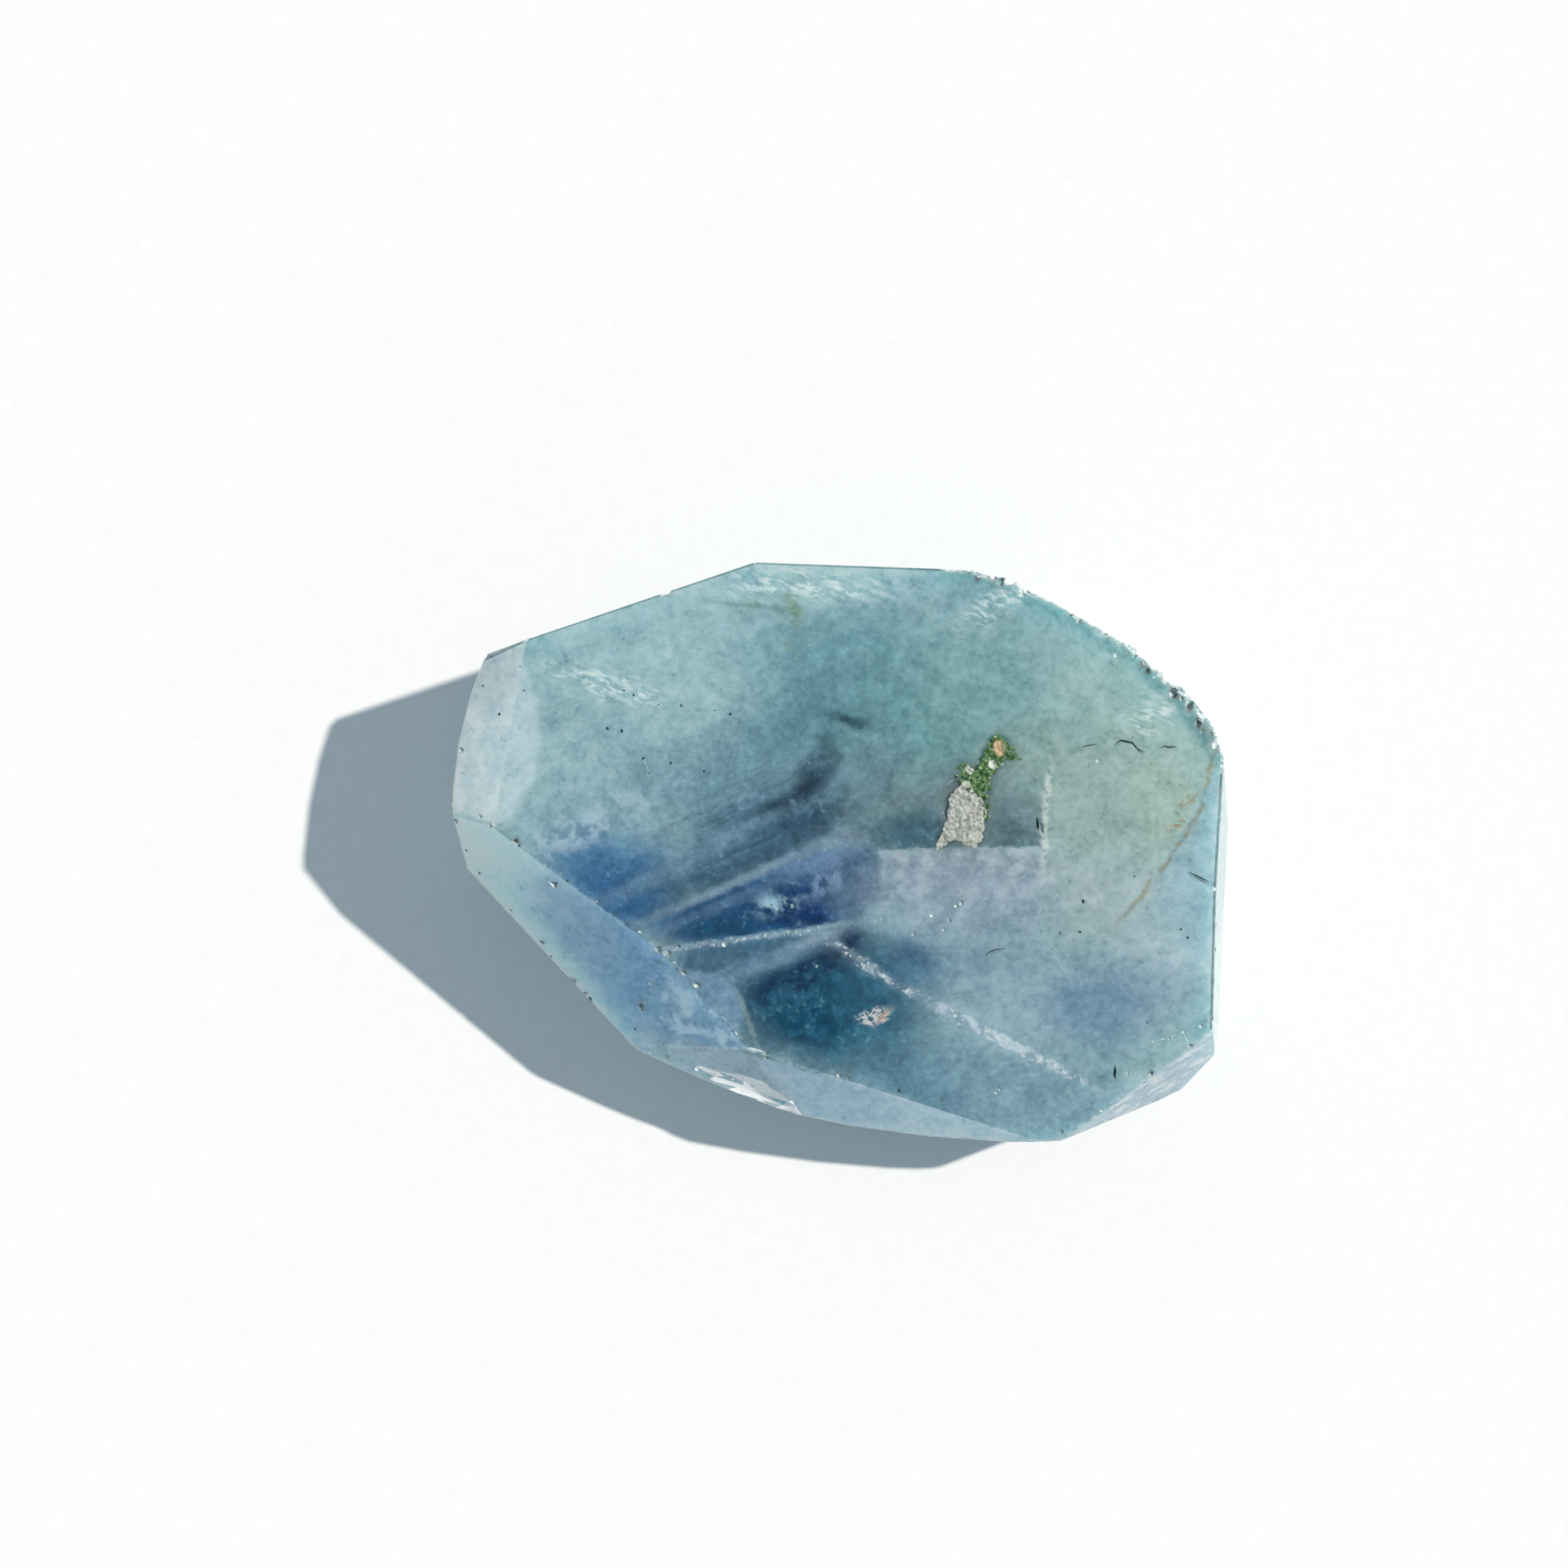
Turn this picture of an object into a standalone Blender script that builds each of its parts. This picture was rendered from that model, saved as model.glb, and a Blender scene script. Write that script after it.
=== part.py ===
"""Fluorite freeform: one piece of blue and green fluorite, ground into flat facets and polished.

Metres, +Z up. The stone lies on its flat base facet. The origin is at the middle of the base, under the
middle of the stone's box, and +X runs along the stone. All that the stone shows is ground or broken out
of one block, so it is one solid.
"""
import math

import bmesh
import bpy
from mathutils import Euler, Matrix, Vector, noise

NAME = "fluorite_freeform"
MM = 0.001

# Driving sizes: the rough block that the facets are ground on, and the heights that the rim follows.
BLOCK = 100 * MM
TOP_HEIGHT = 19.9 * MM
LEFT_RIM_HEIGHT = 18.5 * MM
LOW_RIM_HEIGHT = 12.0 * MM

# A facet is set as a stone cutter sets it: the bearing that it faces, from +X towards +Y, its lean from
# level (0 faces up, 90 is upright, 180 faces down), and how far its plane is from the origin.
CROWN_FACETS = {
    "table": (265.5, 1.4, 19.65 * MM),
    "lower table": (275.5, 19.0, 20.45 * MM),
    "left": (174.5, 17.5, 27.60 * MM),
    "left foot": (232.5, 41.5, 25.20 * MM),
    "lower left": (234.5, 42.0, 24.65 * MM),
    "corner": (239.5, 41.5, 24.20 * MM),
    "bottom left": (246.0, 48.0, 24.40 * MM),
    "bottom": (262.0, 38.0, 23.50 * MM),
    "bottom right": (299.5, 52.0, 31.90 * MM),
    "right": (356.5, 78.0, 34.75 * MM),
}

# The sides fall inwards from the rim to the base.
SIDE_FACETS = {
    "top left": (108.5, 100.0, 21.85 * MM),
    "top": (88.0, 102.0, 19.65 * MM),
    "rough shoulder": (76.0, 96.0, 23.65 * MM),
    "rough slope": (61.5, 96.0, 24.80 * MM),
    "rough end": (19.0, 96.0, 30.60 * MM),
    "right": (2.0, 114.0, 24.95 * MM),
    "left shoulder": (142.5, 100.0, 30.30 * MM),
    "left foot": (173.0, 112.0, 24.60 * MM),
    "lower left": (215.5, 122.0, 14.40 * MM),
    "bottom right": (287.0, 114.0, 21.35 * MM),
    "corner": (293.0, 114.0, 23.10 * MM),
    "right corner": (330.0, 114.0, 28.00 * MM),
}

# The base facet carries the stone, and two shallow facets rise from it.
UNDER_FACETS = {
    "base": (0.0, 180.0, 0.0),
    "under left": (179.0, 172.0, 0.70 * MM),
    "under bottom": (240.5, 165.0, 1.70 * MM),
}

# A round stretch of the rim is ground as even facets along an arc: centre, radius, first and last bearing,
# number of facets, their lean, and the height of the rim.
ROUGH_ARC = (Vector((6.6, -6.4)) * MM, 29.9 * MM, 55.0, 32.0, 4, 96.0, TOP_HEIGHT)
LEFT_ARC = (Vector((-1.6, 3.4)) * MM, 31.4 * MM, 157.0, 181.0, 4, 108.0, LEFT_RIM_HEIGHT)
LOW_ARC = (Vector((13.3, 44.2)) * MM, 68.7 * MM, 240.0, 279.0, 8, 116.0, LOW_RIM_HEIGHT)

# Polishing rounds every edge sharper than this. Corners closer together than the shortest edge are one.
EDGE_WIDTH = 0.22 * MM
EDGE_ANGLE = math.radians(7)
SHORTEST_EDGE = 0.55 * MM
SAME_PLACE = 0.001 * MM

# The rim at the upper right is left as the stone broke. Flake scars follow its edge and cover its wall,
# which falls inwards a little. Each scar wanders from the even run in size, depth and height.
BROKEN_RIM_CENTRE = Vector((3.1, -8.9)) * MM
BROKEN_RIM_RADIUS = 33.7 * MM
BROKEN_RIM_START = 78.0
BROKEN_RIM_END = 24.0
BROKEN_WALL_FALL = math.tan(math.radians(6))
EDGE_SCARS = 17
EDGE_SCAR = Vector((0.6, 1.2, 0.65)) * MM
EDGE_SCAR_BITE = 0.22 * MM
EDGE_SCAR_HEIGHT = TOP_HEIGHT + 0.25 * MM
WALL_SCARS = 15
WALL_SCAR = Vector((1.3, 4.3, 3.4)) * MM
WALL_SCAR_BITE = 0.30 * MM
WALL_MIDDLE = 10.5 * MM
WALL_SPREAD = 5.0 * MM
WALL_LEAN = 30
SCAR_WANDER = 0.6
SCAR_LUMPS = 0.15
LUMPS_PER_SCAR = 1.7

# Single flake scars and hollows: middle and half sizes in millimetres, then the lean about the long side
# and the turn about +Z in degrees.
SCARS = {
    "long flake": ((-10.4, -19.85, 13.1), (8.6, 1.85, 1.2), 48, -18),
    "flake pit": ((-14.7, -18.35, 12.0), (0.5, 0.4, 0.5), 0, 0),
    "low pit": ((-17.0, -17.2, 11.9), (0.5, 0.3, 0.35), 0, -30),
    "low nick": ((9.9, -24.75, 12.1), (1.3, 0.42, 0.5), 0, 0),
    "corner nick": ((28.1, -21.45, 11.2), (1.4, 0.5, 0.6), 0, 24),
    "bottom nick": ((20.2, -24.5, 12.9), (1.9, 0.42, 0.45), 0, 6),
    "top nick": ((9.6, 24.2, 20.25), (1.6, 0.45, 0.6), 0, -3),
    "notch": ((-14.9, 22.1, 19.9), (0.5, 0.28, 0.9), 0, 18),
    "left nick": ((-32.7, 11.4, 18.6), (0.35, 0.7, 0.6), 0, 10),
    "tip nick": ((-30.0, 17.3, 19.6), (0.8, 0.4, 0.5), 0, 35),
    "crevice": ((16.6, 2.4, 19.95), (0.2, 0.55, 0.5), 0, 8),
    "matrix hollow": ((9.75, 3.25, 20.15), (2.15, 3.1, 0.75), 0, 8),
    "matrix foot": ((8.7, 1.5, 20.05), (1.3, 0.9, 0.55), 0, 40),
    "green hollow": ((12.7, 8.5, 20.25), (1.7, 1.9, 0.7), 0, -30),
    "green neck": ((11.0, 6.3, 20.15), (1.5, 1.7, 0.6), 0, 25),
}

# The one sharp pit is three-sided, as fluorite's cleavage leaves it.
CLEAVAGE_PIT_PLACE = Vector((-23.6, -1.4, 17.3)) * MM
CLEAVAGE_PIT_RADIUS = 1.05 * MM
CLEAVAGE_PIT_DEPTH = 1.1 * MM
CLEAVAGE_PIT_TURN = math.radians(-20)

STONE_COLOUR = (0.235, 0.404, 0.468, 1.0)
STONE_ROUGHNESS = 0.12
FLUORITE_IOR = 1.434


def clear_scene():
    for thing in list(bpy.data.objects):
        bpy.data.objects.remove(thing, do_unlink=True)


def new_collection(name):
    collection = bpy.data.collections.new(name)
    bpy.context.scene.collection.children.link(collection)
    return collection


def new_object(name, mesh, collection):
    data = bpy.data.meshes.new(name)
    mesh.to_mesh(data)
    mesh.free()
    thing = bpy.data.objects.new(name, data)
    collection.objects.link(thing)
    return thing


def facing(bearing, lean):
    """The direction that a facet of this bearing and lean faces."""
    turn = math.radians(bearing)
    tilt = math.radians(lean)
    return Vector((math.sin(tilt) * math.cos(turn), math.sin(tilt) * math.sin(turn), math.cos(tilt)))


def grind(mesh, normal, reach):
    """Takes off all that stands beyond a plane, and closes the cut with one flat face."""
    every_part = mesh.verts[:] + mesh.edges[:] + mesh.faces[:]
    cut = bmesh.ops.bisect_plane(
        mesh, geom=every_part, dist=SAME_PLACE, plane_co=normal * reach, plane_no=normal, clear_outer=True
    )
    rim = [part for part in cut["geom_cut"] if isinstance(part, bmesh.types.BMEdge)]
    if rim:
        bmesh.ops.edgeloop_fill(mesh, edges=rim)


def grind_arc(mesh, centre, radius, first, last, count, lean, height):
    """Grinds even facets that touch a level circle, from the first bearing to the last."""
    for step in range(count):
        bearing = first + (last - first) * step / (count - 1)
        normal = facing(bearing, lean)
        touch = Vector((centre.x, centre.y, height))
        touch += radius * facing(bearing, 90)
        grind(mesh, normal, normal.dot(touch))


def stone_block():
    """The polished block, before its edges are softened and its scars are broken out."""
    mesh = bmesh.new()
    bmesh.ops.create_cube(mesh, size=BLOCK)
    for facets in (UNDER_FACETS, CROWN_FACETS, SIDE_FACETS):
        for bearing, lean, reach in facets.values():
            grind(mesh, facing(bearing, lean), reach)
    for arc in (ROUGH_ARC, LEFT_ARC, LOW_ARC):
        grind_arc(mesh, *arc)
    bmesh.ops.remove_doubles(mesh, verts=mesh.verts, dist=SHORTEST_EDGE)
    bmesh.ops.dissolve_degenerate(mesh, edges=mesh.edges, dist=SAME_PLACE)
    bmesh.ops.recalc_face_normals(mesh, faces=mesh.faces)
    return mesh


def wander(step, line):
    """A smooth, even change from scar to scar, from about -0.5 to 0.5."""
    return noise.noise(Vector((step * 2.1, line, 0.0)))


def lumpy_ball(half_sizes, seed):
    """A flattened ball with a lumpy skin, which leaves a shell-shaped scar."""
    mesh = bmesh.new()
    bmesh.ops.create_icosphere(mesh, subdivisions=3, radius=1)
    for vert in mesh.verts:
        swell = noise.noise(vert.co * LUMPS_PER_SCAR + Vector((seed * 3.1, seed * 1.7, 0.5)))
        vert.co *= 1 + 2 * SCAR_LUMPS * swell
    bmesh.ops.scale(mesh, vec=half_sizes, verts=mesh.verts)
    return mesh


def break_out(stone, cutter):
    """Takes a cutter's shape out of the stone."""
    cutter.hide_render = True
    cutter.display_type = "WIRE"
    cut = stone.modifiers.new(cutter.name, "BOOLEAN")
    cut.operation = "DIFFERENCE"
    cut.solver = "EXACT"
    cut.object = cutter


def scar(stone, cutters, name, place, half_sizes, lean, turn):
    seed = len(cutters.objects)
    cutter = new_object(name, lumpy_ball(half_sizes, seed), cutters)
    cutter.location = place
    cutter.rotation_euler = Euler((math.radians(lean), 0, math.radians(turn)))
    break_out(stone, cutter)


def beside_broken_rim(part, height, out):
    """The point this far out from the broken wall, a part of the way along it and at this height."""
    bearing = BROKEN_RIM_START + (BROKEN_RIM_END - BROKEN_RIM_START) * part
    reach = BROKEN_RIM_RADIUS + out - BROKEN_WALL_FALL * (TOP_HEIGHT - height)
    level = BROKEN_RIM_CENTRE + reach * facing(bearing, 90).to_2d()
    return Vector((level.x, level.y, height)), bearing


def broken_edge(stone, cutters):
    for step in range(EDGE_SCARS):
        change = 1 + SCAR_WANDER * wander(step, 0.4)
        half_sizes = EDGE_SCAR * change
        out = EDGE_SCAR.x - EDGE_SCAR_BITE * change**2
        place, turn = beside_broken_rim(step / (EDGE_SCARS - 1), EDGE_SCAR_HEIGHT, out)
        scar(stone, cutters, f"edge_scar_{step}", place, half_sizes, 0, turn)


def broken_wall(stone, cutters):
    for step in range(WALL_SCARS):
        row = step % 3 - 1
        change = 1 + SCAR_WANDER * wander(step, 3.0)
        half_sizes = WALL_SCAR * change
        out = half_sizes.x - WALL_SCAR_BITE * change
        height = WALL_MIDDLE + WALL_SPREAD * (row + wander(step, 5.0))
        place, turn = beside_broken_rim(step / (WALL_SCARS - 1), height, out)
        scar(stone, cutters, f"wall_scar_{step}", place, half_sizes, WALL_LEAN * row, turn)


def single_scars(stone, cutters):
    for name, (place, half_sizes, lean, turn) in SCARS.items():
        middle = Vector(place) * MM
        scar(stone, cutters, name.replace(" ", "_"), middle, Vector(half_sizes) * MM, lean, turn)


def cleavage_pit(stone, cutters):
    mesh = bmesh.new()
    bmesh.ops.create_cone(
        mesh,
        cap_ends=True,
        segments=3,
        radius1=0,
        radius2=CLEAVAGE_PIT_RADIUS,
        depth=CLEAVAGE_PIT_DEPTH,
    )
    bmesh.ops.remove_doubles(mesh, verts=mesh.verts, dist=SAME_PLACE)
    bmesh.ops.recalc_face_normals(mesh, faces=mesh.faces)
    cutter = new_object("cleavage_pit", mesh, cutters)
    bearing, lean, reach = CROWN_FACETS["lower left"]
    normal = facing(bearing, lean)
    upright = normal.to_track_quat("Z", "Y").to_matrix().to_4x4()
    spin = Matrix.Rotation(CLEAVAGE_PIT_TURN, 4, "Z")
    on_facet = CLEAVAGE_PIT_PLACE + normal * (reach - normal.dot(CLEAVAGE_PIT_PLACE))
    cutter.matrix_world = Matrix.Translation(on_facet) @ upright @ spin
    break_out(stone, cutter)


def stone_material():
    material = bpy.data.materials.new("polished_fluorite")
    material.use_nodes = True
    surface = material.node_tree.nodes["Principled BSDF"]
    surface.inputs["Base Color"].default_value = STONE_COLOUR
    surface.inputs["Roughness"].default_value = STONE_ROUGHNESS
    surface.inputs["Metallic"].default_value = 0.0
    surface.inputs["IOR"].default_value = FLUORITE_IOR
    material.diffuse_color = STONE_COLOUR
    return material


def soften_edges(stone):
    bevel = stone.modifiers.new("softened_edges", "BEVEL")
    bevel.width = EDGE_WIDTH
    bevel.segments = 2
    bevel.limit_method = "ANGLE"
    bevel.angle_limit = EDGE_ANGLE


def make_stone(parts, cutters):
    stone = new_object(NAME, stone_block(), parts)
    stone.data.materials.append(stone_material())
    soften_edges(stone)
    single_scars(stone, cutters)
    broken_edge(stone, cutters)
    broken_wall(stone, cutters)
    cleavage_pit(stone, cutters)


clear_scene()
make_stone(new_collection(NAME), new_collection("cutters"))
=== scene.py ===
import math
import random

import bmesh
import bpy
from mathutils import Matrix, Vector, geometry, noise


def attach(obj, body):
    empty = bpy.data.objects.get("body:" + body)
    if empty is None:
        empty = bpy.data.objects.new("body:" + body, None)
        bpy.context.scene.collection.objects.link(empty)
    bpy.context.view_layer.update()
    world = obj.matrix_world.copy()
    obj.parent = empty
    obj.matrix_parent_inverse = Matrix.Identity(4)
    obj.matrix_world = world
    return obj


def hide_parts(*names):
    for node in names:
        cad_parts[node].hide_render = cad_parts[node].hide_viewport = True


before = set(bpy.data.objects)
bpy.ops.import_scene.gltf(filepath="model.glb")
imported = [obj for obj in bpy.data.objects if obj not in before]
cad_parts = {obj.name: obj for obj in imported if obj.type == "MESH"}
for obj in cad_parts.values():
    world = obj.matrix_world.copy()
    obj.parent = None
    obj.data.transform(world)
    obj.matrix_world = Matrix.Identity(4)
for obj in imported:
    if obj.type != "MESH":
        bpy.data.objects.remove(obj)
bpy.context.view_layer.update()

MM = 0.001


# The stone: one piece of fluorite, ground into flat facets and polished by hand. The rim at the upper right was
# left as it broke. Polishing plucked small chips out of the facets' edges and opened a crack and a scratch.

CHIP_SEED = 11
CHIP_STEP = 1.5
CHIP_SIZES = (0.08, 0.22)
CHIPPED_EDGES = {
    "lower left top edge": ((-29.4, 2.4, 19.45), (-15.3, -7.8, 19.45)),
    "lower table edge": ((-15.3, -7.8, 19.45), (-0.6, -6.0, 19.55)),
    "corner edge": ((-15.3, -7.8, 19.45), (-18.1, -16.4, 11.7)),
    "corner right edge": ((-15.3, -7.8, 19.45), (-6.8, -16.9, 16.0)),
    "bottom edge": ((-6.8, -16.9, 16.0), (20.5, -24.0, 12.6)),
    "bottom right edge": ((20.8, -22.8, 13.2), (31.1, -15.0, 15.5)),
    "right edge": ((31.8, 7.4, 19.9), (31.2, -14.9, 15.5)),
    "low rim": ((-18.1, -16.4, 11.7), (-3.3, -21.5, 12.9)),
    "left rim": ((-32.8, 3.7, 18.5), (-32.3, 0.1, 16.3)),
    "lower left rim": ((-32.3, 0.1, 16.3), (-18.1, -16.4, 11.7)),
    "top rim": ((-2.3, 24.5, 20.25), (15.2, 24.0, 20.25)),
}
ROUGH_RIM_CENTRE = Vector((3.1, -8.9))
ROUGH_RIM_RADIUS = 33.6
ROUGH_RIM_ENDS = (79, 23)
ROUGH_RIM_CHIPS = 150
ROUGH_RIM_CHIP_SIZES = (0.16, 0.42)
CROWN = {
    # bearing and lean of each facet, in degrees, and its distance from the middle of the base in millimetres
    "table": (265.5, 1.4, 19.65),
    "lower table": (275.5, 19.0, 20.45),
    "left": (174.5, 17.5, 27.60),
    "left foot": (232.5, 41.5, 25.20),
    "lower left": (234.5, 42.0, 24.65),
    "corner": (239.5, 41.5, 24.20),
    "bottom left": (246.0, 48.0, 24.40),
    "bottom": (262.0, 38.0, 23.50),
    "bottom right": (299.5, 52.0, 31.90),
    "right": (356.5, 78.0, 34.75),
}


def facing_way(bearing, lean):
    """Which way a facet of this bearing and lean faces."""
    bearing, lean = math.radians(bearing), math.radians(lean)
    return Vector((math.sin(lean) * math.cos(bearing), math.sin(lean) * math.sin(bearing), math.cos(lean)))


def on_crown(x, y, above=0.0):
    """The point of the crown over this place, in millimetres, raised by so much."""
    heights = []
    for bearing, lean, reach in CROWN.values():
        way = facing_way(bearing, lean)
        heights.append((reach - way.x * x - way.y * y) / way.z)
    return Vector((x, y, min(heights) + above))


POLISHED, FROSTY, DARK = range(3)
CHIP_STRETCH = (0.7, 1.5)
CHIP_LUMPS = 0.35
CHIP_LUMP_SCALE = 1.3


def add_chip(cutter, rolls, middle, size, look=FROSTY):
    """Adds one lumpy ball to the cutter, which leaves a shell-shaped chip."""
    made = bmesh.ops.create_icosphere(cutter, subdivisions=2, radius=1)["verts"]
    seed = Vector([rolls.uniform(0, 50) for _ in range(3)])
    stretch = Vector([rolls.uniform(*CHIP_STRETCH) for _ in range(3)])
    for vert in made:
        swell = 1 + CHIP_LUMPS * noise.noise(vert.co * CHIP_LUMP_SCALE + seed)
        vert.co = middle + vert.co * stretch * size * swell
        for face in vert.link_faces:
            face.material_index = look


GROOVE_DEPTH = 0.18
WEDGE_TOP = 0.05
BLUNT_END = 0.35


def add_groove(cutter, line, width, look):
    """Adds a three-sided wedge along a line on the crown, thin at both ends. Its top stands clear of the skin."""
    rings = []
    for index, point in enumerate(line):
        before = line[max(index - 1, 0)]
        after = line[min(index + 1, len(line) - 1)]
        along = (Vector(after) - Vector(before)).normalized()
        across = Vector((-along.y, along.x, 0))
        swell = math.sin(math.pi * (index + BLUNT_END) / (len(line) - 1 + 2 * BLUNT_END))
        half = across * width * 0.5 * swell
        top = on_crown(*point, above=WEDGE_TOP)
        foot = on_crown(*point, above=-GROOVE_DEPTH * swell)
        rings.append([cutter.verts.new(corner) for corner in (top - half, top + half, foot)])
    faces = [cutter.faces.new(reversed(rings[0])), cutter.faces.new(rings[-1])]
    for first, second in zip(rings, rings[1:]):
        for a, b in ((0, 1), (1, 2), (2, 0)):
            faces.append(cutter.faces.new((first[a], first[b], second[b], second[a])))
    for face in faces:
        face.material_index = look


CRACK = [(22.6, 9.2), (22.9, 9.5), (23.2, 9.7), (23.7, 9.6), (24.2, 9.5), (24.6, 9.0), (25.0, 8.8), (25.4, 8.7)]
# The crack's bright lip is a painted highlight, cut as a shallow frosty groove.
CRACK_LIP = [(22.9, 9.25), (23.2, 9.47), (23.7, 9.38), (24.3, 9.24), (24.8, 8.72), (25.3, 8.52)]
GROOVES = [
    # points, width, look: the crack in three stretches, a scratch, a thin stroke and two nicks. The crack's middle
    # and the scratch have a bright lip below them, a shallow frosty groove that stands as a painted highlight.
    ([(20.0, 9.15), (20.6, 9.3), (21.2, 9.35)], 0.12, DARK),
    (CRACK, 0.2, DARK),
    (CRACK_LIP, 0.17, FROSTY),
    ([(26.5, 9.05), (26.9, 9.22), (27.3, 9.1), (27.7, 9.2), (28.0, 9.0)], 0.15, DARK),
    ([(28.9, -1.35), (29.5, -1.6), (30.1, -1.9), (30.7, -2.2)], 0.16, DARK),
    ([(28.95, -1.55), (29.5, -1.8), (30.1, -2.1), (30.7, -2.4)], 0.14, FROSTY),
    ([(11.9, -8.4), (12.3, -8.1), (12.8, -7.9), (13.7, -7.8)], 0.1, DARK),
    ([(23.15, -17.9), (23.2, -18.3), (23.15, -18.7), (23.25, -19.1)], 0.3, DARK),
    ([(16.2, 3.3), (16.25, 2.9), (16.3, 2.5), (16.32, 2.2)], 0.28, DARK),
]
BRIGHT_PITS = [
    (-6.6, -16.8), (-16.3, -15.8), (13.1, -20.3), (13.4, -20.0), (1.5, -19.5), (24.3, -18.6), (25.8, -14.2),
    (28.9, -15.0), (26.3, -15.9), (18.4, -18.3), (27.7, -15.6), (30.4, -14.5), (-6.1, -4.1), (-5.5, -4.4),
    (-4.9, -3.9), (-4.3, -4.2), (-30.5, 3.3), (-32.2, 8.9), (9.9, -3.9), (9.5, -4.2), (8.9, -5.4), (8.4, -6.2),
    (-13.7, -12.6), (7.4, -5.0), (20.5, 7.6), (21.3, 8.0), (22.8, 16.8), (5.9, -6.6), (-31.9, 0.4), (16.9, -16.9),
    (20.6, -19.4), (3.5, -10.1), (5.4, -11.3), (-2.2, -9.3),
]
DARK_PITS = [
    (29.0, -6.9), (28.4, -6.2), (18.2, -6.5), (19.9, -6.4), (19.4, -7.1), (17.6, -7.9), (24.4, -1.7), (20.1, -3.8),
    (-29.6, 16.8), (-27.1, 15.9), (-30.3, 14.3), (-26.8, 13.9), (-28.9, 11.9), (-18.4, 13.9), (-17.6, 13.5),
    (-15.5, 12.7), (-13.6, 12.6), (-10.8, 12.2), (-9.5, 11.9), (-19.8, 10.7), (-18.6, 10.5), (-16.8, 8.2),
    (-16.3, 7.0), (-14.5, 7.8), (-11.7, 7.1),
]
PIT_SIZES = (0.09, 0.24)
PIT_RISE = 0.35
DARK_PIT_SHARE = 0.6
CHIP_KINDS = (0.5, 0.8, 1.0, 1.5)
CHIP_STRAY = 0.12
CHIP_SHIFT = 0.45
ROUGH_RIM_STRAY = 0.22
ROUGH_RIM_LEVELS = (-1.2, 0.15)


def chips_and_grooves(materials):
    """Every small chip and pit, the crack and the scratch, as one cutter."""
    rolls = random.Random(CHIP_SEED)
    cutter = bmesh.new()
    for start, end in CHIPPED_EDGES.values():
        start, end = Vector(start), Vector(end)
        count = int((end - start).length / CHIP_STEP)
        for step in range(count):
            part = (step + rolls.uniform(-CHIP_SHIFT, CHIP_SHIFT)) / count
            size = rolls.uniform(*CHIP_SIZES) * rolls.choice(CHIP_KINDS)
            beside = Vector([rolls.gauss(0, CHIP_STRAY) for _ in range(3)])
            add_chip(cutter, rolls, start.lerp(end, part) + beside, size)
    first, last = ROUGH_RIM_ENDS
    for step in range(ROUGH_RIM_CHIPS):
        bearing = math.radians(first + (last - first) * (step + rolls.random()) / ROUGH_RIM_CHIPS)
        reach = ROUGH_RIM_RADIUS + rolls.gauss(0, ROUGH_RIM_STRAY)
        x, y = ROUGH_RIM_CENTRE + reach * Vector((math.cos(bearing), math.sin(bearing)))
        size = rolls.uniform(*ROUGH_RIM_CHIP_SIZES)
        add_chip(cutter, rolls, on_crown(x, y, above=rolls.uniform(*ROUGH_RIM_LEVELS)), size)
    for pits, look in ((BRIGHT_PITS, FROSTY), (DARK_PITS, DARK)):
        for x, y in pits:
            size = rolls.uniform(*PIT_SIZES) * (1.0 if look == FROSTY else DARK_PIT_SHARE)
            add_chip(cutter, rolls, on_crown(x, y, above=size * PIT_RISE), size, look)
    for line, width, look in GROOVES:
        add_groove(cutter, line, width, look)
    bmesh.ops.scale(cutter, vec=(MM, MM, MM), verts=cutter.verts)
    bmesh.ops.recalc_face_normals(cutter, faces=cutter.faces)
    mesh = bpy.data.meshes.new("chips_and_grooves")
    cutter.to_mesh(mesh)
    for material in materials:
        mesh.materials.append(material)
    cutter.free()
    return bpy.data.objects.new("chips_and_grooves", mesh)


# Lengths and areas here are those of the finished mesh, in metres and square metres. The dark edges are in
# millimetres.
SAME_PLACE = 1e-6
FLAT_WITHIN = math.radians(0.3)
SHARP_BEYOND = math.radians(38)
BROKEN_BELOW = 1.2e-6
STRIP_LENGTH = 1.2e-3
STRIP_WIDTH = 0.25e-3
NEARLY_LEVEL = 0.93
INCLUSION_MIDDLE = Vector((0.0113, 0.0056))
INCLUSION_REACH = 6.2e-3
DARK_EDGES = [((-29.7, 17.1), (-7.3, 24.7)), ((-7.3, 24.7), (10.2, 24.1)), ((31.9, 6.5), (31.2, -14.9))]
BY_EDGE = 0.45


def whole_facets(mesh):
    """Welds a mesh's corners and makes each flat facet one face again."""
    bmesh.ops.remove_doubles(mesh, verts=mesh.verts, dist=SAME_PLACE)
    borders = {"MATERIAL"}
    bmesh.ops.dissolve_limit(mesh, angle_limit=FLAT_WITHIN, verts=mesh.verts, edges=mesh.edges, delimit=borders)


def loose_bits(mesh):
    """The faces of buried bubbles and splinters that the cutting left beside the stone's own skin."""
    left = set(mesh.faces)
    pieces = []
    while left:
        piece = [left.pop()]
        for face in piece:
            for edge in face.edges:
                if len(edge.link_faces) == 2:
                    beside = left.intersection(edge.link_faces)
                    left -= beside
                    piece.extend(beside)
        pieces.append(piece)
    skin = set(max(pieces, key=len))
    return [face for face in mesh.faces if face not in skin]


def is_dark_edge(middle):
    """Whether a softened edge is one of those that get painted shade, as they look dark from above."""
    for first, last in DARK_EDGES:
        foot, part = geometry.intersect_point_line(middle, Vector(first), Vector(last))
        if (foot - middle).length < BY_EDGE and 0 <= part <= 1:
            return True
    return False


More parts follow.
